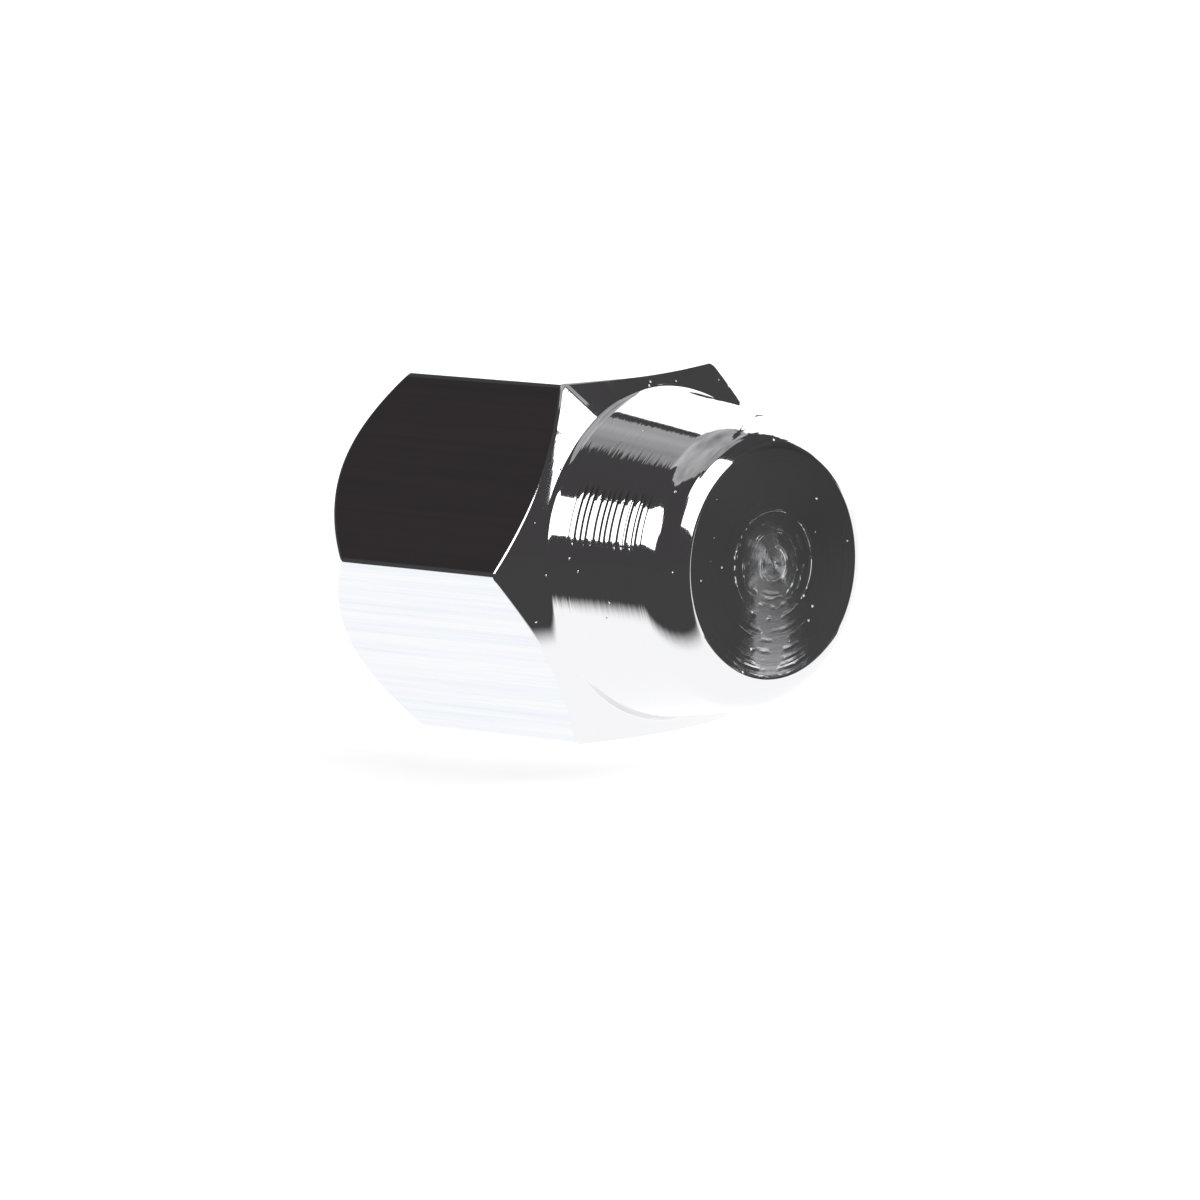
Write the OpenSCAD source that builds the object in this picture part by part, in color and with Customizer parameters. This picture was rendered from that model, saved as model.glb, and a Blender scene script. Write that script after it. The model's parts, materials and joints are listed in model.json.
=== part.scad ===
// Closed-end wheel nut with a conical seat, turned from hexagonal bar.
// The thread's axis lies along X and the closed end points to +X. The nut lies on one flat
// of the hexagon, with +Z up. The origin is on the axis, where the tapped wall begins.

/* [Hexagon] */
// Width across the flats, which is the spanner size
across_flats = 21; // [17:0.5:27]
// Length of the hexagon's corner edges, from the seat to the front chamfer
corner_length = 12.7; // [8:0.1:20]
// Angle of the front chamfer, measured from the plane across the axis
chamfer_angle = 35; // [15:1:40]

/* [Conical seat] */
// Included angle of the cone that centres the nut in the wheel
seat_angle = 60; // [50:1:90]
// Width of the flat ring round the mouth of the hole
ring_width = 1; // [0.3:0.1:2]

/* [Closed end] */
// Depth to which the round end is turned below the flats
neck_step = 0.93; // [0.2:0.01:2]
// Distance from the ends of the corner edges to the end face
end_length = 10.6; // [8:0.1:16]
// Slope of the round end's side to the axis
end_taper = 9; // [0:0.5:12]
// Radius of the round between the side and the end face
end_round = 2.6; // [0.4:0.05:3]
// Slope of the round where the end face cuts it off, with 90 for no edge between them
round_stop = 72; // [50:1:90]
// Radius of the fillet between the front chamfer and the round end
neck_fillet = 0.7; // [0.1:0.1:1.4]

/* [Threaded hole] */
// Major diameter of the thread
thread_d = 12; // [10:0.5:14]
// Pitch of the thread
thread_pitch = 1.5; // [1:0.25:2]
// How much wider than the thread the countersunk mouth is, on the radius
sink_margin = 0.25; // [0.1:0.05:0.5]
// Thickness of metal between the drill point and the end face
end_wall = 4.2; // [2.5:0.1:6]
// Included angle of the drill point at the bottom of the hole
drill_angle = 118; // [90:1:140]

/* [Hidden] */

// Number of sides drawn on a true circle
round_fn = 96;
// Extra length that carries a cut clear of a face
past = 1;

// The tapping hole is smaller than the thread by one pitch, and its mouth flares at 45 degrees
bore_r = (thread_d - thread_pitch) / 2;
sink_r = thread_d / 2 + sink_margin;
mouth_r = sink_r + ring_width;
mouth_x = bore_r - sink_r;

// The bar's hexagon, with its flats and corners measured from the axis
flat_r = across_flats / 2;
corner_r = flat_r / cos(30);
// The bar's turned envelope stands clear of the corners between the seat and the chamfer
clear_r = corner_r + past;

// The seat's cone runs from the mouth's ring out to the hexagon's corners and beyond
function seat_x(r) = mouth_x + (r - mouth_r) / tan(seat_angle / 2);
front_corner_x = seat_x(corner_r) + corner_length;

// The front chamfer's cone runs in from the corners to the foot of the round end
function chamfer_x(r) = front_corner_x + (corner_r - r) * tan(chamfer_angle);
neck_r = flat_r - neck_step;
neck_x = chamfer_x(neck_r);

// The round end's side narrows from its foot towards the end face
end_x = front_corner_x + end_length;
function side_r(x) = neck_r - (x - neck_x) * tan(end_taper);

// Centre of the round that is tangent to the side, and the radius of the edge where it stops
round_x = end_x - end_round * sin(round_stop);
round_r = side_r(round_x) - end_round / cos(end_taper);
face_r = round_r + end_round * cos(round_stop);

// Centre of the fillet that is tangent to the chamfer and to the side, and its reach along them
fillet_reach = neck_fillet / tan((90 + chamfer_angle + end_taper) / 2);
fillet_r = neck_r + fillet_reach * cos(chamfer_angle) + neck_fillet * sin(chamfer_angle);
fillet_x = neck_x - fillet_reach * sin(chamfer_angle) + neck_fillet * cos(chamfer_angle);

// The hole's full width ends where the drill's point begins
point_length = bore_r / tan(drill_angle / 2);
bore_end_x = end_x - end_wall - point_length;

// A disc whose outline is a true circle
module disc(r) circle(r = r, $fn = round_fn);

// Half section of the turned shape without its fillet: radius across, place on the axis up
module turned_section() {
    side_end = [round_r + end_round * cos(end_taper), round_x + end_round * sin(end_taper)];
    polygon([
        [0, mouth_x], [mouth_r, mouth_x],
        [clear_r, seat_x(clear_r)], [clear_r, chamfer_x(clear_r)],
        [neck_r, neck_x], side_end,
        [round_r, round_x], [face_r, end_x], [0, end_x]
    ]);
    intersection() {
        translate([round_r, round_x]) disc(end_round);
        translate([0, round_x - end_round]) square([corner_r, end_x - round_x + end_round]);
    }
}

// Section of the metal that fills the corner between the front chamfer and the side, rooted inside
// the turned shape
module fillet_section() {
    chamfer_end = [neck_r + fillet_reach * cos(chamfer_angle), neck_x - fillet_reach * sin(chamfer_angle)];
    side_start = [neck_r - fillet_reach * sin(end_taper), neck_x + fillet_reach * cos(end_taper)];
    difference() {
        polygon([[neck_r - neck_fillet, neck_x - neck_fillet], chamfer_end, [fillet_r, fillet_x], side_start]);
        translate([fillet_r, fillet_x]) disc(neck_fillet);
    }
}

// Everything that the lathe leaves, about the Z axis
module turned_shape() {
    rotate_extrude($fn = round_fn) {
        turned_section();
        fillet_section();
    }
}

// The bar that the nut is turned from, with two flats square to X before it is laid down
module hexagon_bar() {
    translate([0, 0, mouth_x - past])
        rotate([0, 0, 30])
            cylinder(r = corner_r, h = end_x - mouth_x + 2 * past, $fn = 6);
}

// The blind tapping hole with its countersunk mouth and its drill point
module stud_hole() {
    translate([0, 0, mouth_x])
        cylinder(r1 = sink_r, r2 = bore_r, h = sink_r - bore_r, $fn = round_fn);
    translate([0, 0, mouth_x - past])
        cylinder(r = bore_r, h = bore_end_x - mouth_x + past, $fn = round_fn);
    translate([0, 0, bore_end_x])
        cylinder(r1 = bore_r, r2 = 0, h = point_length, $fn = round_fn);
}

// The whole nut, laid down along X
module lug_nut() {
    color("silver")
        rotate([0, 90, 0])
            difference() {
                intersection() {
                    hexagon_bar();
                    turned_shape();
                }
                stud_hole();
            }
}

lug_nut();
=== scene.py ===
"""A closed-end wheel nut in bright chrome, lying on one flat of its hexagon.

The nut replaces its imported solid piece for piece: the turned profile is spun, the bar's six
flats are cut from it, its edges are eased, and the blind hole gets its real thread.
"""

import json
import logging
import math
from dataclasses import dataclass, field
from enum import Enum
from typing import Any, Iterator

import bmesh
import bpy
from mathutils import Matrix, Vector

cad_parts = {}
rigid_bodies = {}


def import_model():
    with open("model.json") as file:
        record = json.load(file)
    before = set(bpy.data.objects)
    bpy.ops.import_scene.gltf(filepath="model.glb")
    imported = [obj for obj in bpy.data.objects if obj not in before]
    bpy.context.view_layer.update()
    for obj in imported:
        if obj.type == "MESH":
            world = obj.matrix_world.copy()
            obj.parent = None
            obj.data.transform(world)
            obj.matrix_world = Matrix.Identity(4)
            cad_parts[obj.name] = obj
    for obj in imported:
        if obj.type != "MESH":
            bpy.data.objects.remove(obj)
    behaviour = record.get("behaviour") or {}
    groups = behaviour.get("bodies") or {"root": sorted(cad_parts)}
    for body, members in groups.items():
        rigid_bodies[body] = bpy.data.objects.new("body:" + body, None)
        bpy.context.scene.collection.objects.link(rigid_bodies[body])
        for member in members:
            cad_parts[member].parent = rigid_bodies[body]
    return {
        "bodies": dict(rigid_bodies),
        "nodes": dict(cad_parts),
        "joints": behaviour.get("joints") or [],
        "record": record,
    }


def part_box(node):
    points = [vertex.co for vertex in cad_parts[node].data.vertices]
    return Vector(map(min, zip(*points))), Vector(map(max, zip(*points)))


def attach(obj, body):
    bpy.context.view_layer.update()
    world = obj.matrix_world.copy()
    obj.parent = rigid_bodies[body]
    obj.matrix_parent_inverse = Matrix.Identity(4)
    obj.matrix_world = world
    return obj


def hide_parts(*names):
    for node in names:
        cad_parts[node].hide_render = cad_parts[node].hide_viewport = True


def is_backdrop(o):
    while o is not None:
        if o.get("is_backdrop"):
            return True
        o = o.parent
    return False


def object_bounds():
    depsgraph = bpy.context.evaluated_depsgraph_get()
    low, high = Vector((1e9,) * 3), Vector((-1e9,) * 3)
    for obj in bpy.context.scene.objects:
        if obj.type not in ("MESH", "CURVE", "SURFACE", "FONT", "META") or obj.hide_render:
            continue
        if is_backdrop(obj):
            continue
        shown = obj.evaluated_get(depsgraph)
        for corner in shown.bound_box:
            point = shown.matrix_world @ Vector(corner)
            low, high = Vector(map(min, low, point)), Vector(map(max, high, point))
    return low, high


log = logging.getLogger("lug_nut")

MM = 0.001
WHITE = "ffffff"
Point = tuple[float, float]
# Points closer than this many millimetres are one point
WELD = 1e-4


def direction(azimuth: float, elevation: float) -> Vector:
    """The unit vector from the nut towards a place round it.

    Args:
        azimuth: Degrees round the nut, with 0 on the -Y side and 90 on the +X side.
        elevation: Degrees above the horizon.

    Returns:
        The unit vector.
    """
    turn, rise = math.radians(azimuth), math.radians(elevation)
    return Vector((math.sin(turn) * math.cos(rise), -math.cos(turn) * math.cos(rise), math.sin(rise)))


def linear(hex_colour: str) -> tuple[float, float, float, float]:
    """Turns an sRGB hex colour into the linear RGBA that Blender's sockets take.

    Args:
        hex_colour: Six hex digits, two each for red, green and blue.

    Returns:
        The linear colour with an alpha of 1.
    """
    channels = [int(hex_colour[i : i + 2], 16) / 255 for i in (0, 2, 4)]
    straight = [c / 12.92 if c <= 0.04045 else ((c + 0.055) / 1.055) ** 2.4 for c in channels]
    return (*straight, 1.0)


def add_node(tree: bpy.types.NodeTree, kind: str, settings: dict[str, Any] | None = None,
             inputs: dict[str | int, Any] | None = None) -> bpy.types.Node:
    """Adds one node to a tree, with its settings and with its inputs set or linked.

    Args:
        tree: The node tree of a material or of the world.
        kind: The node's type name, such as ShaderNodeBump.
        settings: Properties of the node itself.
        inputs: Value, or output socket to link from, for each input by name or number.

    Returns:
        The new node.
    """
    node = tree.nodes.new(kind)
    for name, value in (settings or {}).items():
        setattr(node, name, value)
    for key, value in (inputs or {}).items():
        socket = node.inputs[key]
        if isinstance(value, bpy.types.NodeSocket):
            tree.links.new(value, socket)
        else:
            socket.default_value = value
    return node


def new_material(name: str) -> tuple[bpy.types.Material, bpy.types.NodeTree]:
    """Makes an empty node material.

    Args:
        name: The material's name.

    Returns:
        The material and its cleared node tree.
    """
    material = bpy.data.materials.new(name)
    material.use_nodes = True
    material.node_tree.nodes.clear()
    return material, material.node_tree


class Surface(Enum):
    """The nut's kinds of surface, whose values are its material slots."""

    BAR = 0
    TURNED = 1
    TAPPED = 2


@dataclass(frozen=True)
class BarChrome:
    """Chrome plate over drawn bar: a mirror with faint straight lines along the bar, bumped and also painted
    as bluish streaks that stand in for their changes in reflection.

    Sizes are in millimetres.
    """

    name: str = "chrome_plate_on_drawn_bar"
    colour: str = "dfe0e2"
    # A bluish tint painted along the drawing lines, standing in for the changes in reflection that the
    # lines' real bump makes: painted reflection streaks
    painted_streak_colour: str = "d5d9df"
    roughness: float = 0.06
    # The drawing lines are fainter and finer on the real bar, and are this wide so that they show
    line_width: float = 0.35
    line_length: float = 30.0
    line_depth: float = 0.004
    # Levels of the lines' noise between which the painted reflection streaks turn to the plate's own colour
    painted_streak_levels: Point = (0.3, 0.6)

    def material(self) -> bpy.types.Material:
        """Builds the finish of the hexagon's flats.

        Returns:
            The finish.
        """
        material, tree = new_material(self.name)
        place = add_node(tree, "ShaderNodeTexCoord").outputs["Object"]
        across = 1 / (self.line_width * MM)
        along = 1 / (self.line_length * MM)
        stretched = add_node(
            tree, "ShaderNodeMapping", {}, {"Vector": place, "Scale": (along, across, across)}
        )
        lines = add_node(
            tree, "ShaderNodeTexNoise", {},
            {"Vector": stretched.outputs[0], "Scale": 1.0, "Detail": 3.0, "Roughness": 0.6},
        )
        bump = add_node(
            tree, "ShaderNodeBump", {},
            {"Height": lines.outputs[0], "Distance": self.line_depth * MM, "Strength": 1.0},
        )
        # Painted reflection: the plate's colour turns bluish along the lines, in place of the light and
        # shade they catch
        painted_streaks = add_node(
            tree, "ShaderNodeMapRange", {},
            {
                "Value": lines.outputs[0],
                "From Min": self.painted_streak_levels[0],
                "From Max": self.painted_streak_levels[1],
            },
        )
        tint = add_node(
            tree, "ShaderNodeMix", {"data_type": "RGBA"},
            {"Factor": painted_streaks.outputs[0], 6: linear(self.painted_streak_colour), 7: linear(self.colour)},
        )
        shader = add_node(
            tree, "ShaderNodeBsdfPrincipled", {},
            {
                "Base Color": tint.outputs[2],
                "Metallic": 1.0,
                "Roughness": self.roughness,
                "Normal": bump.outputs[0],
            },
        )
        add_node(tree, "ShaderNodeOutputMaterial", {}, {"Surface": shader.outputs[0]})
        return material


@dataclass(frozen=True)
class TurnedSpot:
    """Where a point of the turned surface lies, as sockets of one node tree."""

    tree: bpy.types.NodeTree
    place: bpy.types.NodeSocket
    along: bpy.types.NodeSocket
    radius: bpy.types.NodeSocket
    # Runs on at one rate along the side and across the end face, so one pattern rules both
    travel: bpy.types.NodeSocket
    # Height above the axis as a share of the radius
    upness: bpy.types.NodeSocket

    @classmethod
    def in_tree(cls, tree: bpy.types.NodeTree) -> "TurnedSpot":
        """Adds the nodes that find the spot.

        Args:
            tree: The material's node tree.

        Returns:
            The spot's sockets.
        """
        place = add_node(tree, "ShaderNodeTexCoord").outputs["Object"]
        apart = add_node(tree, "ShaderNodeSeparateXYZ", {}, {0: place}).outputs
        across = add_node(tree, "ShaderNodeCombineXYZ", {}, {"Y": apart["Y"], "Z": apart["Z"]})
        length = add_node(tree, "ShaderNodeVectorMath", {"operation": "LENGTH"}, {0: across.outputs[0]})
        radius = length.outputs["Value"]
        travel = add_node(tree, "ShaderNodeMath", {"operation": "SUBTRACT"}, {0: apart["X"], 1: radius})
        upness = add_node(tree, "ShaderNodeMath", {"operation": "DIVIDE"}, {0: apart["Z"], 1: radius})
        return cls(tree, place, apart["X"], radius, travel.outputs[0], upness.outputs[0])


@dataclass(frozen=True)
class TurnedChrome:
    """Chrome plate over lathe-turned steel: a mirror ruled with fine rings round the axis.

    The end face is polished too, but a worn patch from its middle down to its edge is satin and
    broken by arcs. Sizes are in millimetres.
    """

    name: str = "chrome_plate_on_turned_steel"
    colour: str = "dcdcde"
    roughness: float = 0.05
    # Edges of the patterns fade over this length
    fade: float = 0.3

    # The lathe's feed leaves finer rings, and these are as coarse as they need to be to show
    ring_pitch: float = 0.31
    ring_depth: float = 0.006
    # Share of the rings' depth on the chamfer and the seat, which ends past the neck
    front_share: float = 0.15
    neck_from: float = 21.8
    neck_to: float = 22.4
    # The rings' depth wanders by patches of this size, down to this share, between these levels of
    # the patches' noise
    patch_size: float = 2.2
    faint_share: float = 0.25
    patch_levels: Point = (0.35, 0.65)

    # Deeper grooves rule a band high on the round end's side, between two shares of its radius
    groove_pitch: float = 0.42
    groove_width: float = 0.46
    groove_depth: float = 0.036
    groove_from: float = 23.2
    groove_to: float = 28.55
    groove_low: float = 0.16
    groove_high: float = 0.52
    groove_fade: float = 0.04
    # The shallowest groove's share of the deepest, the share of all grooves that is shallower than
    # the deepest, and a faint patch's share of its grooves' depth
    shallow_share: float = 0.45
    shallow_count: float = 0.8
    groove_faint_share: float = 0.6

    # The same grooves are broken into arcs within this radius of the end face and on its worn patch
    arc_depth: float = 0.036
    arc_r: float = 4.0
    arc_fade: float = 1.0
    arc_length: float = 0.8
    arc_levels: Point = (0.42, 0.58)

    # The worn patch's half width, its middle along Y, and how far its edge strays and fades
    worn_width: float = 2.0
    worn_middle: float = -0.3
    worn_ragged: float = 1.0
    worn_fade: float = 0.9
    # Height above the axis counts at this share towards the patch's edge, and depth below it at 0
    worn_rise: float = 0.75
    worn_roughness: float = 0.21
    worn_depth: float = 0.007
    # A quarter turn, so that the patch's sheen runs across its rings
    sheen_turn: float = 0.25
    face_r: float = 6.6

    # Fine specks that stand up in the plate
    speck_spacing: float = 1.1
    speck_size: float = 0.075
    speck_height: float = 0.03

    def strength(self, spot: TurnedSpot, faint: float) -> bpy.types.NodeSocket:
        """Adds the level, different from patch to patch, at which the lathe's marks show.

        Args:
            spot: The place on the surface.
            faint: The level of the faintest patches, where 1 is that of the strongest.

        Returns:
            The level's socket.
        """
        patches = add_node(
            spot.tree, "ShaderNodeTexNoise", {},
            {"Vector": spot.place, "Scale": 1 / (self.patch_size * MM), "Detail": 2.0, "Roughness": 0.6},
        )
        return add_node(
            spot.tree, "ShaderNodeMapRange", {},
            {
                "Value": patches.outputs[0],
                "From Min": self.patch_levels[0],
                "From Max": self.patch_levels[1],
                "To Min": faint,
            },
        ).outputs[0]

    def face(self, spot: TurnedSpot) -> bpy.types.NodeSocket:
        """Adds a mask that is 1 near the axis, where the end face lies, and 0 farther out.

        Args:
            spot: The place on the surface.

        Returns:
            The mask's socket.
        """
        return add_node(
            spot.tree, "ShaderNodeMapRange", {},
            {
                "Value": spot.radius,
                "From Min": self.face_r * MM,
                "From Max": (self.face_r - self.fade) * MM,
            },
        ).outputs[0]

    def wear(self, spot: TurnedSpot) -> bpy.types.NodeSocket:
        """Adds a mask that is 1 in a ragged strip, round the axis and below it.

        Args:
            spot: The place on the surface.

        Returns:
            The mask's socket.
        """
        moved = add_node(
            spot.tree, "ShaderNodeVectorMath", {"operation": "MULTIPLY_ADD"},
            {0: spot.place, 1: (0, 1, self.worn_rise), 2: (0, -self.worn_middle * MM, 0)},
        )
        # This holds only the height at 0 or more, because the nut is far smaller than 1 m
        upper = add_node(
            spot.tree, "ShaderNodeVectorMath", {"operation": "MAXIMUM"},
            {0: moved.outputs[0], 1: (-1, -1, 0)},
        )
        away = add_node(spot.tree, "ShaderNodeVectorMath", {"operation": "LENGTH"}, {0: upper.outputs[0]})
        noise = add_node(
            spot.tree, "ShaderNodeTexNoise", {},
            {"Vector": spot.place, "Scale": 1 / (self.arc_length * MM), "Detail": 2.0},
        )
        ragged = add_node(
            spot.tree, "ShaderNodeMapRange", {},
            {
                "Value": noise.outputs[0],
                "To Min": -self.worn_ragged * MM,
                "To Max": self.worn_ragged * MM,
            },
        )
        reach = add_node(
            spot.tree, "ShaderNodeMath", {"operation": "ADD"},
            {0: away.outputs["Value"], 1: ragged.outputs[0]},
        )
        return add_node(
            spot.tree, "ShaderNodeMapRange", {},
            {
                "Value": reach.outputs[0],
                "From Min": (self.worn_width + self.worn_fade) * MM,
                "From Max": (self.worn_width - self.worn_fade) * MM,
            },
        ).outputs[0]

    def rings(self, spot: TurnedSpot, worn: bpy.types.NodeSocket) -> bpy.types.NodeSocket:
        """Adds the height, in millimetres, of the fine turning rings.

        Args:
            spot: The place on the surface.
            worn: The mask of the end face's worn patch.

        Returns:
            The height's socket.
        """
        noise = add_node(
            spot.tree, "ShaderNodeTexNoise", {"noise_dimensions": "1D"},
            {"W": spot.travel, "Scale": 1 / (self.ring_pitch * MM), "Detail": 2.0, "Roughness": 0.5},
        )
        depth = add_node(
            spot.tree, "ShaderNodeMapRange", {},
            {"Value": worn, "To Min": self.ring_depth, "To Max": self.worn_depth},
        )
        past_neck = add_node(
            spot.tree, "ShaderNodeMapRange", {},
            {
                "Value": spot.along,
                "From Min": self.neck_from * MM,
                "From Max": self.neck_to * MM,
                "To Min": self.front_share,
            },
        )
        height = noise.outputs[0]
        for share in (depth.outputs[0], past_neck.outputs[0], self.strength(spot, self.faint_share)):
            height = add_node(
                spot.tree, "ShaderNodeMath", {"operation": "MULTIPLY"}, {0: height, 1: share}
            ).outputs[0]
        return height

    def groove_band(self, spot: TurnedSpot) -> bpy.types.NodeSocket:
        """Adds the depth, in millimetres, of the grooves on the round end's side.

        Args:
            spot: The place on the surface.

        Returns:
            The depth's socket, which is 0 outside the ruled band.
        """
        depth = add_node(
            spot.tree, "ShaderNodeMath", {"operation": "MULTIPLY"},
            {0: self.strength(spot, self.groove_faint_share), 1: self.groove_depth},
        ).outputs[0]
        limits = (
            (spot.along, self.groove_from * MM, (self.groove_from + self.fade) * MM),
            (spot.along, self.groove_to * MM, (self.groove_to - self.fade) * MM),
            (spot.upness, self.groove_low - self.groove_fade, self.groove_low + self.groove_fade),
            (spot.upness, self.groove_high + self.groove_fade, self.groove_high - self.groove_fade),
        )
        for value, outside, inside in limits:
            depth = add_node(
                spot.tree, "ShaderNodeMapRange", {},
                {"Value": value, "From Min": outside, "From Max": inside, "To Max": depth},
            ).outputs[0]
        return depth

    def arcs(self, spot: TurnedSpot, face: bpy.types.NodeSocket,
             wear: bpy.types.NodeSocket) -> bpy.types.NodeSocket:
        """Adds a mask that breaks the grooves into arcs on the end face.

        Args:
            spot: The place on the surface.
            face: The end face's mask.
            wear: The mask of the worn strip.

        Returns:
            The mask's socket.
        """
        middle = add_node(
            spot.tree, "ShaderNodeMapRange", {},
            {
                "Value": spot.radius,
                "From Min": self.arc_r * MM,
                "From Max": (self.arc_r - self.arc_fade) * MM,
            },
        )
        within = add_node(
            spot.tree, "ShaderNodeMath", {"operation": "MAXIMUM"}, {0: wear, 1: middle.outputs[0]}
        )
        noise = add_node(
            spot.tree, "ShaderNodeTexNoise", {},
            {"Vector": spot.place, "Scale": 1 / (self.arc_length * MM), "Detail": 1.0},
        )
        broken = add_node(
            spot.tree, "ShaderNodeMapRange", {},
            {
                "Value": noise.outputs[0],
                "From Min": self.arc_levels[0],
                "From Max": self.arc_levels[1],
                "To Max": within.outputs[0],
            },
        )
        return add_node(
            spot.tree, "ShaderNodeMath", {"operation": "MULTIPLY"}, {0: broken.outputs[0], 1: face}
        ).outputs[0]

    def grooves(self, spot: TurnedSpot, arcs: bpy.types.NodeSocket) -> bpy.types.NodeSocket:
        """Adds the height, in millimetres, of the grooves on the side and the arcs on the end face.

        Args:
            spot: The place on the surface.
            arcs: The mask of the arcs.

        Returns:
            The height's socket.
        """
        cells = add_node(
            spot.tree, "ShaderNodeTexVoronoi", {"voronoi_dimensions": "1D"},
            {"W": spot.travel, "Scale": 1 / (self.groove_pitch * MM), "Randomness": 1.0},
        )
        own = add_node(spot.tree, "ShaderNodeSeparateXYZ", {}, {0: cells.outputs["Color"]})
        bottom = add_node(
            spot.tree, "ShaderNodeMapRange", {},
            {
                "Value": own.outputs[0],
                "From Max": self.shallow_count,
                "To Min": -self.shallow_share,
                "To Max": -1.0,
            },
        )
        cut = add_node(
            spot.tree, "ShaderNodeMapRange", {},
            {
                "Value": cells.outputs["Distance"],
                "From Max": self.groove_width,
                "To Min": bottom.outputs[0],
                "To Max": 0.0,
            },
        )
        depth = add_node(
            spot.tree, "ShaderNodeMath", {"operation": "MULTIPLY_ADD"},
            {0: arcs, 1: self.arc_depth, 2: self.groove_band(spot)},
        )
        return add_node(
            spot.tree, "ShaderNodeMath", {"operation": "MULTIPLY"}, {0: cut.outputs[0], 1: depth.outputs[0]}
        ).outputs[0]

    def specks(self, spot: TurnedSpot) -> bpy.types.NodeSocket:
        """Adds the height, in millimetres, of the specks.

        Args:
            spot: The place on the surface.

        Returns:
            The height's socket.
        """
        cells = add_node(
            spot.tree, "ShaderNodeTexVoronoi", {},
            {"Vector": spot.place, "Scale": 1 / (self.speck_spacing * MM), "Randomness": 1.0},
        )
        return add_node(
            spot.tree, "ShaderNodeMapRange", {},
            {
                "Value": cells.outputs["Distance"],
                "From Max": self.speck_size / self.speck_spacing,
                "To Min": self.speck_height,
                "To Max": 0.0,
            },
        ).outputs[0]

    def material(self) -> bpy.types.Material:
        """Builds the finish of every surface that the lathe cuts.

        Returns:
            The finish.
        """
        material, tree = new_material(self.name)
        spot = TurnedSpot.in_tree(tree)
        face, wear = self.face(spot), self.wear(spot)
        worn = add_node(tree, "ShaderNodeMath", {"operation": "MULTIPLY"}, {0: face, 1: wear}).outputs[0]
        height = self.rings(spot, worn)
        for mark in (self.grooves(spot, self.arcs(spot, face, wear)), self.specks(spot)):
            height = add_node(tree, "ShaderNodeMath", {"operation": "ADD"}, {0: height, 1: mark}).outputs[0]
        bump = add_node(tree, "ShaderNodeBump", {}, {"Height": height, "Distance": MM, "Strength": 1.0})
        tangent = add_node(tree, "ShaderNodeTangent", {"direction_type": "RADIAL", "axis": "X"})
        satin = add_node(
            tree, "ShaderNodeMapRange", {},
            {"Value": worn, "To Min": self.roughness, "To Max": self.worn_roughness},
        )
        shader = add_node(
            tree, "ShaderNodeBsdfPrincipled", {},
            {
                "Base Color": linear(self.colour),
                "Metallic": 1.0,
                "Roughness": satin.outputs[0],
                "Anisotropic": worn,
                "Anisotropic Rotation": self.sheen_turn,
                "Tangent": tangent.outputs[0],
                "Normal": bump.outputs[0],
            },
        )
        add_node(tree, "ShaderNodeOutputMaterial", {}, {"Surface": shader.outputs[0]})
        return material


@dataclass(frozen=True)
class TappedSteel:
    """Cut thread below the plating's reach: satin grey steel with tool marks.

    Sizes are in millimetres.
    """

    name: str = "tapped_steel"
    colour: str = "9b9a98"
    roughness: float = 0.32
    mark_size: float = 0.4
    mark_depth: float = 0.01

    def material(self) -> bpy.types.Material:
        """Builds the finish of the blind threaded hole.

        Returns:
            The finish.
        """
        material, tree = new_material(self.name)
        place = add_node(tree, "ShaderNodeTexCoord").outputs["Object"]
        marks = add_node(
            tree, "ShaderNodeTexNoise", {},
            {"Vector": place, "Scale": 1 / (self.mark_size * MM), "Detail": 3.0},
        )
        bump = add_node(
            tree, "ShaderNodeBump", {},
            {"Height": marks.outputs[0], "Distance": self.mark_depth * MM, "Strength": 1.0},
        )
        shader = add_node(
            tree, "ShaderNodeBsdfPrincipled", {},
            {
                "Base Color": linear(self.colour),
                "Metallic": 1.0,
                "Roughness": self.roughness,
                "Normal": bump.outputs[0],
            },
        )
        add_node(tree, "ShaderNodeOutputMaterial", {}, {"Surface": shader.outputs[0]})
        return material


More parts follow.
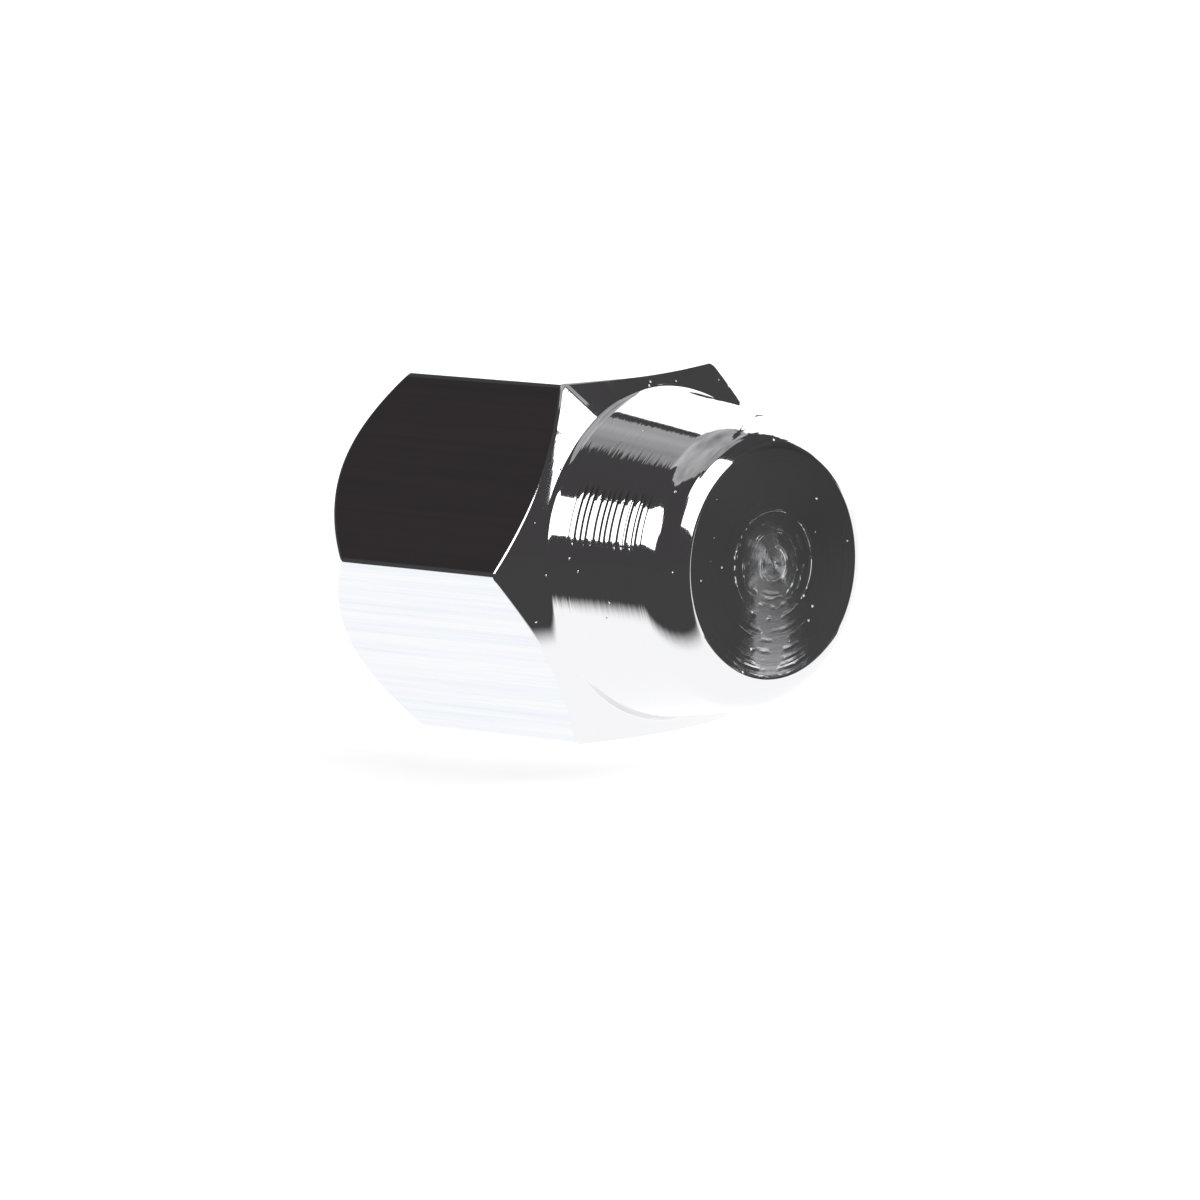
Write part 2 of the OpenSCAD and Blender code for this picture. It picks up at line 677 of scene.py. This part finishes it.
@dataclass
class LugNut:
    """The whole nut, one piece of metal. Sizes are in millimetres, with the axis along X."""

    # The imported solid's own sizes
    flat_r: float
    mouth_x: float
    end_x: float
    bore_r: float
    bore_length: float

    # The turned outline
    corner_length: float = 12.7
    chamfer_angle: float = 35.0
    seat_angle: float = 60.0
    ring_width: float = 1.0
    neck_step: float = 0.93
    end_taper: float = 9.0
    end_round: float = 2.6
    round_stop: float = 72.0
    neck_fillet: float = 0.7
    # The turned body stands this far clear of the hexagon's corners before the flats are cut
    clear: float = 1.0

    # The blind thread, which runs out over the tap's lead, short of the hole's bottom
    thread_pitch: float = 1.5
    thread_r: float = 6.0
    drill_angle: float = 118.0
    plain_end: float = 1.5
    tap_lead: float = 3.0

    # How far each kind of edge is eased, and the turns between faces that make it an edge
    corner_ease: float = 0.36
    edge_ease: float = 0.18
    rim_ease: float = 0.06
    mouth_ease: float = 0.1
    sharp_angle: float = math.radians(20)
    rim_angle: float = math.radians(5)

    # Steps of the round shapes
    segments: int = 192
    arc_steps: int = 10
    ease_steps: int = 4
    flank_steps: int = 3

    finishes: dict[Surface, BarChrome | TurnedChrome | TappedSteel] = field(
        default_factory=lambda: {
            Surface.BAR: BarChrome(),
            Surface.TURNED: TurnedChrome(),
            Surface.TAPPED: TappedSteel(),
        }
    )

    @classmethod
    def from_frame(cls, frame: dict[str, Any]) -> "LugNut":
        """Reads the nut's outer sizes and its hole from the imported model.


        Returns:
            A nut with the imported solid's sizes.
        """
        low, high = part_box("lug_nut")
        hole = next(m for m in frame["record"]["mounts"] if m["name"] == "stud_thread")
        return cls(
            flat_r=high[2] / MM,
            mouth_x=low[0] / MM,
            end_x=high[0] / MM,
            bore_r=hole["dims"]["r_mm"],
            bore_length=hole["dims"]["length_mm"],
        )

    @property
    def corner_r(self) -> float:
        """Distance of the hexagon's corners from the axis."""
        return self.flat_r / math.cos(math.radians(30))

    @property
    def sink_r(self) -> float:
        """Radius of the countersunk mouth, which flares at 45 degrees."""
        return self.bore_r - self.mouth_x

    @property
    def mouth_r(self) -> float:
        """Outer radius of the flat ring round the mouth."""
        return self.sink_r + self.ring_width

    def seat_x(self, radius: float) -> float:
        """Place on the axis where the seat's cone has a radius."""
        return self.mouth_x + (radius - self.mouth_r) / math.tan(math.radians(self.seat_angle / 2))

    def chamfer_x(self, radius: float) -> float:
        """Place on the axis where the front chamfer's cone has a radius."""
        corner_x = self.seat_x(self.corner_r) + self.corner_length
        return corner_x + (self.corner_r - radius) * math.tan(math.radians(self.chamfer_angle))

    def arc(self, centre: Point, radius: float, start: float, stop: float) -> Iterator[Point]:
        """Points along an arc of the outline.

        Args:
            centre: The arc's centre, as place on the axis and radius.
            radius: The arc's own radius.
            start: Angle of its first point in degrees, from the direction away from the axis.
            stop: Angle of its last point, with 90 towards the closed end.

        Yields:
            Each point as place on the axis and radius.
        """
        for step in range(self.arc_steps + 1):
            angle = math.radians(start + (stop - start) * step / self.arc_steps)
            yield (centre[0] + radius * math.sin(angle), centre[1] + radius * math.cos(angle))

    def outline(self) -> list[Point]:
        """The turned outline from the mouth's ring to the middle of the end face.

        Returns:
            The points, as place on the axis and radius.
        """
        chamfer, taper = math.radians(self.chamfer_angle), math.radians(self.end_taper)
        neck_r = self.flat_r - self.neck_step
        neck_x = self.chamfer_x(neck_r)
        reach = self.neck_fillet / math.tan((math.pi / 2 + chamfer + taper) / 2)
        fillet = (
            neck_x - reach * math.sin(chamfer) + self.neck_fillet * math.cos(chamfer),
            neck_r + reach * math.cos(chamfer) + self.neck_fillet * math.sin(chamfer),
        )
        rim_x = self.end_x - self.end_round * math.sin(math.radians(self.round_stop))
        rim_r = neck_r - (rim_x - neck_x) * math.tan(taper) - self.end_round / math.cos(taper)
        outer = self.corner_r + self.clear
        return [
            (self.mouth_x, self.sink_r + self.mouth_ease),
            (self.mouth_x, self.mouth_r),
            (self.seat_x(outer), outer),
            (self.chamfer_x(outer), outer),
            *self.arc(fillet, -self.neck_fillet, 90 - self.chamfer_angle, self.end_taper),
            *self.arc((rim_x, rim_r), self.end_round, self.end_taper, self.round_stop),
            (self.end_x, 0.0),
        ]

    def spin_line(self, points: list[Point], lead: float = 0.0) -> bmesh.types.BMesh:
        """Spins a line once round the X axis.

        Args:
            points: The line, as place on the axis and radius.
            lead: How far the line moves along the axis in the turn.

        Returns:
            A new bmesh with the turned surface, its seam and poles closed.
        """
        bm = bmesh.new()
        verts = [bm.verts.new((x, radius, 0.0)) for x, radius in points]
        edges = [bm.edges.new(pair) for pair in zip(verts, verts[1:])]
        bmesh.ops.spin(
            bm, geom=verts + edges, cent=(0, 0, 0), axis=(1, 0, 0), dvec=(lead / self.segments, 0, 0),
            angle=math.tau, steps=self.segments, use_merge=lead == 0, use_duplicate=False,
        )
        bmesh.ops.remove_doubles(bm, verts=bm.verts, dist=WELD)
        return bm

    def cut_flats(self, bm: bmesh.types.BMesh) -> None:
        """Cuts the bar's six flats from the turned body and closes them.

        Args:
            bm: The turned body, which is changed.
        """
        for face in bm.faces:
            face.material_index = Surface.TURNED.value
        for side in range(6):
            angle = math.radians(30 + 60 * side)
            outward = Vector((0, math.cos(angle), math.sin(angle)))
            cut = bmesh.ops.bisect_plane(
                bm, geom=[*bm.verts, *bm.edges, *bm.faces], dist=WELD,
                plane_co=outward * self.flat_r, plane_no=outward, clear_outer=True,
            )
            rim = [e for e in cut["geom_cut"] if isinstance(e, bmesh.types.BMEdge)]
            for face in bmesh.ops.contextual_create(bm, geom=rim)["faces"]:
                face.material_index = Surface.BAR.value

    def is_corner(self, edge: bmesh.types.BMEdge) -> bool:
        """Whether an edge runs between two of the bar's flats."""
        return all(face.material_index == Surface.BAR.value for face in edge.link_faces)

    def is_sharp(self, edge: bmesh.types.BMEdge) -> bool:
        """Whether an edge between two faces is too sharp to be left as it was cut."""
        return edge.is_manifold and edge.calc_face_angle() > self.sharp_angle

    def is_rim(self, edge: bmesh.types.BMEdge) -> bool:
        """Whether an edge is where the rim's round stops at the end face."""
        at_end = min(vert.co.x for vert in edge.verts) > self.end_x - WELD
        return at_end and edge.calc_face_angle() > self.rim_angle

    def ease_edges(self, bm: bmesh.types.BMesh) -> None:
        """Rounds every sharp edge a little, as tumbling and plating leave it.

        Args:
            bm: The body with its flats, which is changed.
        """
        kinds = (
            (self.corner_ease, self.is_corner),
            (self.edge_ease, self.is_sharp),
            (self.rim_ease, self.is_rim),
        )
        for offset, belongs in kinds:
            bmesh.ops.bevel(
                bm, geom=[edge for edge in bm.edges if belongs(edge)], affect="EDGES", offset=offset,
                offset_type="OFFSET", segments=self.ease_steps, profile=0.5, material=-1,
                clamp_overlap=True,
            )

    def thread_line(self) -> list[Point]:
        """The hole's wall along the axis, with a thread groove in every pitch.

        Returns:
            The points, as place on the axis and radius.
        """
        depth = self.thread_r - self.bore_r
        # The metric form: a flat root an eighth of the pitch wide, between flanks at 30 degrees
        root = self.thread_pitch / 8
        flank = depth * math.tan(math.radians(30))
        crest = self.thread_pitch - root - 2 * flank
        steps = self.flank_steps
        turn = [(0.0, 0.0), (crest, 0.0)]
        turn += [(crest + flank * k / steps, depth * k / steps) for k in range(1, steps + 1)]
        turn += [(crest + flank + root + flank * k / steps, depth * (1 - k / steps)) for k in range(steps)]
        start = self.mouth_x - self.thread_pitch
        turns = math.ceil((self.bore_length - start) / self.thread_pitch)
        return [
            (start + n * self.thread_pitch + x, self.bore_r + deep)
            for n in range(turns)
            for x, deep in turn
        ]

    def thread_hole(self) -> bmesh.types.BMesh:
        """Makes the wall of the blind hole: countersunk mouth, thread and drill point.

        Returns:
            A new bmesh, open at the mouth.
        """
        bm = self.spin_line(self.thread_line(), self.thread_pitch)
        for vert in bm.verts:
            left = (self.bore_length - self.plain_end - vert.co.x) / self.tap_lead
            deep = (vert.co.yz.length - self.bore_r) * min(1.0, max(0.0, left))
            radius = self.bore_r + max(deep, -vert.co.x)
            vert.co.yz = vert.co.yz.normalized() * radius
        ends = ((self.mouth_x + self.mouth_ease, -1), (self.bore_length, 1))
        for place, way in ends:
            bmesh.ops.bisect_plane(
                bm, geom=[*bm.verts, *bm.edges, *bm.faces], dist=WELD,
                plane_co=(place, 0, 0), plane_no=(way, 0, 0), clear_outer=True,
            )
        bottom = [e for e in bm.edges if e.is_boundary and e.verts[0].co.x > self.bore_length / 2]
        point = bmesh.ops.extrude_edge_only(bm, edges=bottom)["geom"]
        tip_x = self.bore_length + self.bore_r / math.tan(math.radians(self.drill_angle / 2))
        tip = [v for v in point if isinstance(v, bmesh.types.BMVert)]
        bmesh.ops.pointmerge(bm, verts=tip, merge_co=(tip_x, 0, 0))
        for face in bm.faces:
            face.material_index = Surface.TAPPED.value
        for edge in bm.edges:
            edge.smooth = not self.is_sharp(edge)
        return bm

    def build(self) -> bpy.types.Object:
        """Makes the nut's closed mesh and gives it its finishes.

        Returns:
            The nut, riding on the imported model's body in place of its solid.
        """
        bm = self.spin_line(self.outline())
        self.cut_flats(bm)
        self.ease_edges(bm)
        hole = self.thread_hole()
        mesh = bpy.data.meshes.new("nut")
        hole.to_mesh(mesh)
        hole.free()
        bm.from_mesh(mesh)
        bmesh.ops.bridge_loops(bm, edges=[e for e in bm.edges if e.is_boundary])
        bmesh.ops.recalc_face_normals(bm, faces=bm.faces)
        for face in bm.faces:
            face.smooth = True
        log.info("open edges left: %d", sum(not e.is_manifold for e in bm.edges))
        bm.transform(Matrix.Scale(MM, 4))
        bm.to_mesh(mesh)
        bm.free()
        for surface in Surface:
            mesh.materials.append(self.finishes[surface].material())
        nut = bpy.data.objects.new("nut", mesh)
        bpy.context.scene.collection.objects.link(nut)
        weighted = nut.modifiers.new("flat_faces_stay_flat", "WEIGHTED_NORMAL")
        weighted.keep_sharp = True
        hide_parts("lug_nut")
        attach(nut, "root")
        return nut


@dataclass(frozen=True, kw_only=True)
class Card:
    """A flat lamp face or card round the nut, which shows only in the nut's reflections."""

    name: str
    outline: tuple[Point, ...]
    glow: float
    # Share by which the glow goes up and down, the size in metres of its clouds, and the levels of
    # their noise between which it does so
    mottle: float = 0.0
    cloud_size: float = 1.0
    cloud_levels: Point = (0.3, 0.7)

    def corners(self) -> Iterator[Vector]:
        """The outline's corners in metres, which each kind of card places in its own way."""
        raise NotImplementedError

    def finish(self) -> bpy.types.Material:
        """Builds the card's glow, even or mottled.

        Returns:
            The material.
        """
        material, tree = new_material(self.name)
        light = add_node(tree, "ShaderNodeEmission", {}, {"Color": linear(WHITE), "Strength": self.glow})
        if self.mottle:
            place = add_node(tree, "ShaderNodeTexCoord").outputs["Object"]
            clouds = add_node(
                tree, "ShaderNodeTexNoise", {},
                {"Vector": place, "Scale": 1 / self.cloud_size, "Detail": 2.0},
            )
            level = add_node(
                tree, "ShaderNodeMapRange", {},
                {
                    "Value": clouds.outputs[0],
                    "From Min": self.cloud_levels[0],
                    "From Max": self.cloud_levels[1],
                    "To Min": self.glow * (1 - self.mottle),
                    "To Max": self.glow * (1 + self.mottle),
                },
            )
            tree.links.new(level.outputs[0], light.inputs["Strength"])
        add_node(tree, "ShaderNodeOutputMaterial", {}, {"Surface": light.outputs[0]})
        return material

    def stand(self) -> bpy.types.Object:
        """Adds the card to the scene.

        Returns:
            The card's object.
        """
        bm = bmesh.new()
        verts = [bm.verts.new(corner) for corner in self.corners()]
        edges = [bm.edges.new(pair) for pair in zip(verts, verts[1:] + verts[:1])]
        bmesh.ops.contextual_create(bm, geom=edges)
        mesh = bpy.data.meshes.new(self.name)
        bm.to_mesh(mesh)
        bm.free()
        mesh.materials.append(self.finish())
        card = bpy.data.objects.new(self.name, mesh)
        card.visible_camera = False
        card.visible_diffuse = False
        card.visible_shadow = False
        bpy.context.scene.collection.objects.link(card)
        card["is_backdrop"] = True
        return card


@dataclass(frozen=True, kw_only=True)
class FacingCard(Card):
    """A card that faces the eye, a place in the nut's closed end.

    Its outline is a loop of azimuths and elevations in degrees, as they're seen from the eye. Its
    distance is in metres.
    """

    facing: Point
    distance: float
    eye: tuple[float, float, float] = (0.025, -0.004, 0.003)

    def corners(self) -> Iterator[Vector]:
        """The outline's corners in metres, on the plane that faces the eye."""
        away = direction(*self.facing)
        for azimuth, elevation in self.outline:
            ray = direction(azimuth, elevation)
            yield Vector(self.eye) + ray * (self.distance / ray.dot(away))


@dataclass(frozen=True, kw_only=True)
class CloseCard(Card):
    """A small card close behind the nut, square to the Y axis.

    Its outline is a loop of places along X and Z in millimetres, and it stands behind the axis by
    its distance in millimetres.
    """

    behind: float

    def corners(self) -> Iterator[Vector]:
        """The outline's corners in metres."""
        for x, z in self.outline:
            yield Vector((x, self.behind, z)) * MM


@dataclass(frozen=True)
class Studio:
    """The floor, the backdrop, the soft lamps, the dark cards and the camera.

    Sizes are in metres.
    """

    floor_z: float
    floor_size: float = 8.0
    paper_colour: str = "f4f4f4"
    # The paper's own glow, which leaves a faint shadow, and its glow in the nut's reflections
    paper_glow: float = 0.8
    floor_glow: float = 1.28

    # A black card lies on the floor ahead of the nut's closed end, and shows in the nut alone
    black_azimuth: float = 35.0
    black_distance: float = 0.012
    black_fade: float = 0.006
    black_glow: float = 0.068
    nut_end: float = 0.03

    # The white backdrop's curve
    wall_radius: float = 0.8
    wall_from: float = 154.0
    wall_to: float = 241.0
    wall_top: float = 1.6
    wall_steps: int = 24
    wall_glow: float = 1.8

    # The dim room, which is darker towards one side; the levels are cosines of the angle from it
    room_colour: str = "4a4849"
    shade_colour: str = "393434"
    shade_azimuth: float = -57.0
    shade_elevation: float = 32.0
    shade_from: float = 0.955
    shade_to: float = 0.99

    # The camera's view
    azimuth: float = 46.28
    elevation: float = 7.69
    roll: float = 2.31
    distance: float = 0.6395
    aim: tuple[float, float, float] = (0.01871, -0.00231, -0.00261)
    lens: float = 331.7
    sensor_width: float = 36.0
    nearest: float = 0.05
    farthest: float = 20.0

    # What the nut mirrors: two softboxes and a clouded ceiling, white paper beside the seat, a dark
    # card before the end face with its foot on the floor, and a dark card behind the chamfer, which
    # a slip of white paper keeps out of the rim
    cards: tuple[Card, ...] = (
        FacingCard(
            name="left_softbox", facing=(-15, 26), distance=0.6, glow=3.0,
            outline=(
                (-38, 34), (-28, 37.5), (-8, 42), (4, 41), (12, 37.5),
                (15, 26), (6, 12.5), (-15, 14), (-32, 14),
            ),
        ),
        FacingCard(
            name="right_softbox", facing=(92, 25), distance=0.6, glow=3.0,
            outline=((66, 20), (71, 36), (76, 43), (107, 47), (122, 16), (106, 1), (90, 8.5), (76, 15.5)),
        ),
        FacingCard(
            name="ceiling", facing=(0, 90), distance=1.0, glow=0.48, mottle=0.5, cloud_size=0.5,
            outline=(
                (-105, 50), (-88, 56), (-75, 57), (-61, 57), (-45, 68), (-15, 62),
                (15, 58), (60, 56), (90, 48), (120, 49), (150, 49), (180, 60),
            ),
        ),
        FacingCard(
            name="side_paper", facing=(-107, 15), distance=0.7, glow=1.8,
            outline=((-124, -3), (-96, -3), (-98, 34), (-110, 42), (-119, 47), (-124, 47)),
        ),
        FacingCard(
            name="face_flag", facing=(133.7, 0), distance=0.03784, glow=0.066,
            mottle=0.35, cloud_size=0.0189,
            outline=((117.5, -18.9), (148, -19), (148, 31), (117.5, 31)),
        ),
        FacingCard(
            name="face_foot", facing=(0, -90), distance=0.0133, glow=0.066,
            outline=((110, -25.5), (118, -19.5), (147.5, -19.5), (154, -25.5)),
        ),
        CloseCard(
            name="chamfer_flag", behind=13, glow=0.068,
            outline=(
                (18.9, 8.8), (19.4, 14), (22, 18.2), (24.4, 21.3), (26.4, 24.3), (28.6, 28), (31, 32),
                (34.3, 36.5), (38, 39.8), (44, 42), (44, 38.5), (39.5, 35.5), (36, 32), (32.6, 28),
                (29.6, 24.2), (27.1, 21), (25.5, 18), (24.6, 15.8), (23.5, 13), (22.4, 10.3), (21.4, 8.8),
            ),
        ),
        CloseCard(
            name="rim_paper", behind=7.5, glow=1.8,
            outline=(
                (24, 8.2), (24.2, 11.5), (25.4, 14.5), (27, 17), (28.6, 19.2), (30.2, 21.6),
                (31.4, 21.6), (30.9, 18.5), (29.6, 15.5), (28, 12.5), (27, 10), (26.4, 8.2),
            ),
        ),
    )

    def floor_finish(self) -> bpy.types.Material:
        """Builds white paper that shows a black card to the nut's reflections alone.

        Returns:
            The material.
        """
        material, tree = new_material("white_paper")
        place = add_node(tree, "ShaderNodeTexCoord").outputs["Object"]
        forward = direction(self.black_azimuth, 0)
        ahead = add_node(
            tree, "ShaderNodeVectorMath", {"operation": "DOT_PRODUCT"}, {0: place, 1: tuple(forward)}
        )
        start = self.black_distance + forward.x * self.nut_end
        mirrored = add_node(
            tree, "ShaderNodeMapRange", {"interpolation_type": "SMOOTHSTEP"},
            {
                "Value": ahead.outputs["Value"],
                "From Min": start - self.black_fade / 2,
                "From Max": start + self.black_fade / 2,
                "To Min": self.floor_glow,
                "To Max": self.black_glow,
            },
        )
        reflected = add_node(
            tree, "ShaderNodeEmission", {}, {"Color": linear(WHITE), "Strength": mirrored.outputs[0]}
        )
        paper = add_node(tree, "ShaderNodeBsdfDiffuse", {}, {"Color": linear(self.paper_colour)})
        glow = add_node(
            tree, "ShaderNodeEmission", {}, {"Color": linear(WHITE), "Strength": self.paper_glow}
        )
        both = add_node(tree, "ShaderNodeAddShader", {}, {0: paper.outputs[0], 1: glow.outputs[0]})
        path = add_node(tree, "ShaderNodeLightPath")
        mixed = add_node(
            tree, "ShaderNodeMixShader", {},
            {"Fac": path.outputs["Is Glossy Ray"], 1: both.outputs[0], 2: reflected.outputs[0]},
        )
        add_node(tree, "ShaderNodeOutputMaterial", {}, {"Surface": mixed.outputs[0]})
        return material

    def floor(self) -> bpy.types.Object:
        """Makes the floor that the nut lies on.

        Returns:
            The floor's object.
        """
        bm = bmesh.new()
        bmesh.ops.create_grid(bm, x_segments=1, y_segments=1, size=self.floor_size / 2)
        bmesh.ops.translate(bm, verts=bm.verts, vec=(0, 0, self.floor_z))
        mesh = bpy.data.meshes.new("floor")
        bm.to_mesh(mesh)
        bm.free()
        mesh.materials.append(self.floor_finish())
        sheet = bpy.data.objects.new("floor", mesh)
        bpy.context.scene.collection.objects.link(sheet)
        sheet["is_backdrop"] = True
        return sheet

    def backdrop(self) -> bpy.types.Object:
        """Makes the white paper that stands in a curve behind the nut.

        Returns:
            The backdrop's object.
        """
        bm = bmesh.new()
        foot = direction(self.wall_from, 0) * self.wall_radius
        verts = [bm.verts.new((foot.x, foot.y, z)) for z in (self.floor_z, self.wall_top)]
        edge = bm.edges.new(verts)
        bmesh.ops.spin(
            bm, geom=[*verts, edge], cent=(0, 0, 0), axis=(0, 0, 1), steps=self.wall_steps,
            angle=math.radians(self.wall_to - self.wall_from), use_merge=False, use_duplicate=False,
        )
        mesh = bpy.data.meshes.new("backdrop")
        bm.to_mesh(mesh)
        bm.free()
        material, tree = new_material("white_backdrop")
        glow = add_node(tree, "ShaderNodeEmission", {}, {"Color": linear(WHITE), "Strength": self.wall_glow})
        add_node(tree, "ShaderNodeOutputMaterial", {}, {"Surface": glow.outputs[0]})
        mesh.materials.append(material)
        wall = bpy.data.objects.new("backdrop", mesh)
        bpy.context.scene.collection.objects.link(wall)
        wall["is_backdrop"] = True
        return wall

    def world(self) -> None:
        """Sets the surroundings: white to the camera, a dim studio in reflections."""
        world = bpy.data.worlds.new("studio")
        bpy.context.scene.world = world
        world.use_nodes = True
        tree = world.node_tree
        tree.nodes.clear()
        place = add_node(tree, "ShaderNodeTexCoord").outputs["Generated"]
        shaded = tuple(direction(self.shade_azimuth, self.shade_elevation))
        towards = add_node(
            tree, "ShaderNodeVectorMath", {"operation": "DOT_PRODUCT"}, {0: place, 1: shaded}
        )
        shade = add_node(
            tree, "ShaderNodeMapRange", {"interpolation_type": "SMOOTHSTEP"},
            {
                "Value": towards.outputs["Value"],
                "From Min": self.shade_from,
                "From Max": self.shade_to,
            },
        )
        tint = add_node(
            tree, "ShaderNodeMix", {"data_type": "RGBA"},
            {"Factor": shade.outputs[0], 6: linear(self.room_colour), 7: linear(self.shade_colour)},
        )
        dim = add_node(tree, "ShaderNodeBackground", {}, {"Color": tint.outputs[2], "Strength": 1.0})
        white = add_node(tree, "ShaderNodeBackground", {}, {"Color": linear(WHITE), "Strength": 1.0})
        path = add_node(tree, "ShaderNodeLightPath")
        mixed = add_node(
            tree, "ShaderNodeMixShader", {},
            {"Fac": path.outputs["Is Camera Ray"], 1: dim.outputs[0], 2: white.outputs[0]},
        )
        add_node(tree, "ShaderNodeOutputWorld", {}, {"Surface": mixed.outputs[0]})

    def camera(self) -> bpy.types.Object:
        """Places the camera, which looks at the nut from its closed end's side.

        Returns:
            The camera.
        """
        lens = bpy.data.cameras.new("camera")
        lens.lens = self.lens
        lens.sensor_width = self.sensor_width
        lens.clip_start = self.nearest
        lens.clip_end = self.farthest
        camera = bpy.data.objects.new("camera", lens)
        back = direction(self.azimuth, self.elevation)
        camera.location = Vector(self.aim) + back * self.distance
        level = (-back).to_track_quat("-Z", "Y").to_matrix()
        turned = level @ Matrix.Rotation(math.radians(-self.roll), 3, "Z")
        camera.rotation_mode = "QUATERNION"
        camera.rotation_quaternion = turned.to_quaternion()
        bpy.context.scene.collection.objects.link(camera)
        bpy.context.scene.camera = camera
        return camera

    def set_up(self) -> None:
        """Builds the whole studio."""
        self.camera()
        self.floor()
        self.backdrop()
        self.world()
        for card in self.cards:
            card.stand()
        bpy.context.scene.view_settings.view_transform = "Standard"


def main() -> None:
    """Builds the studio and the nut."""
    logging.basicConfig(level=logging.INFO, format="%(name)s: %(message)s")
    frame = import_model()
    cad_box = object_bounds()
    nut = LugNut.from_frame(frame)
    Studio(floor_z=cad_box[0].z).set_up()
    piece = nut.build()
    log.info("%s: %d faces", piece.name, len(piece.data.polygons))


if __name__ == "__main__":
    main()
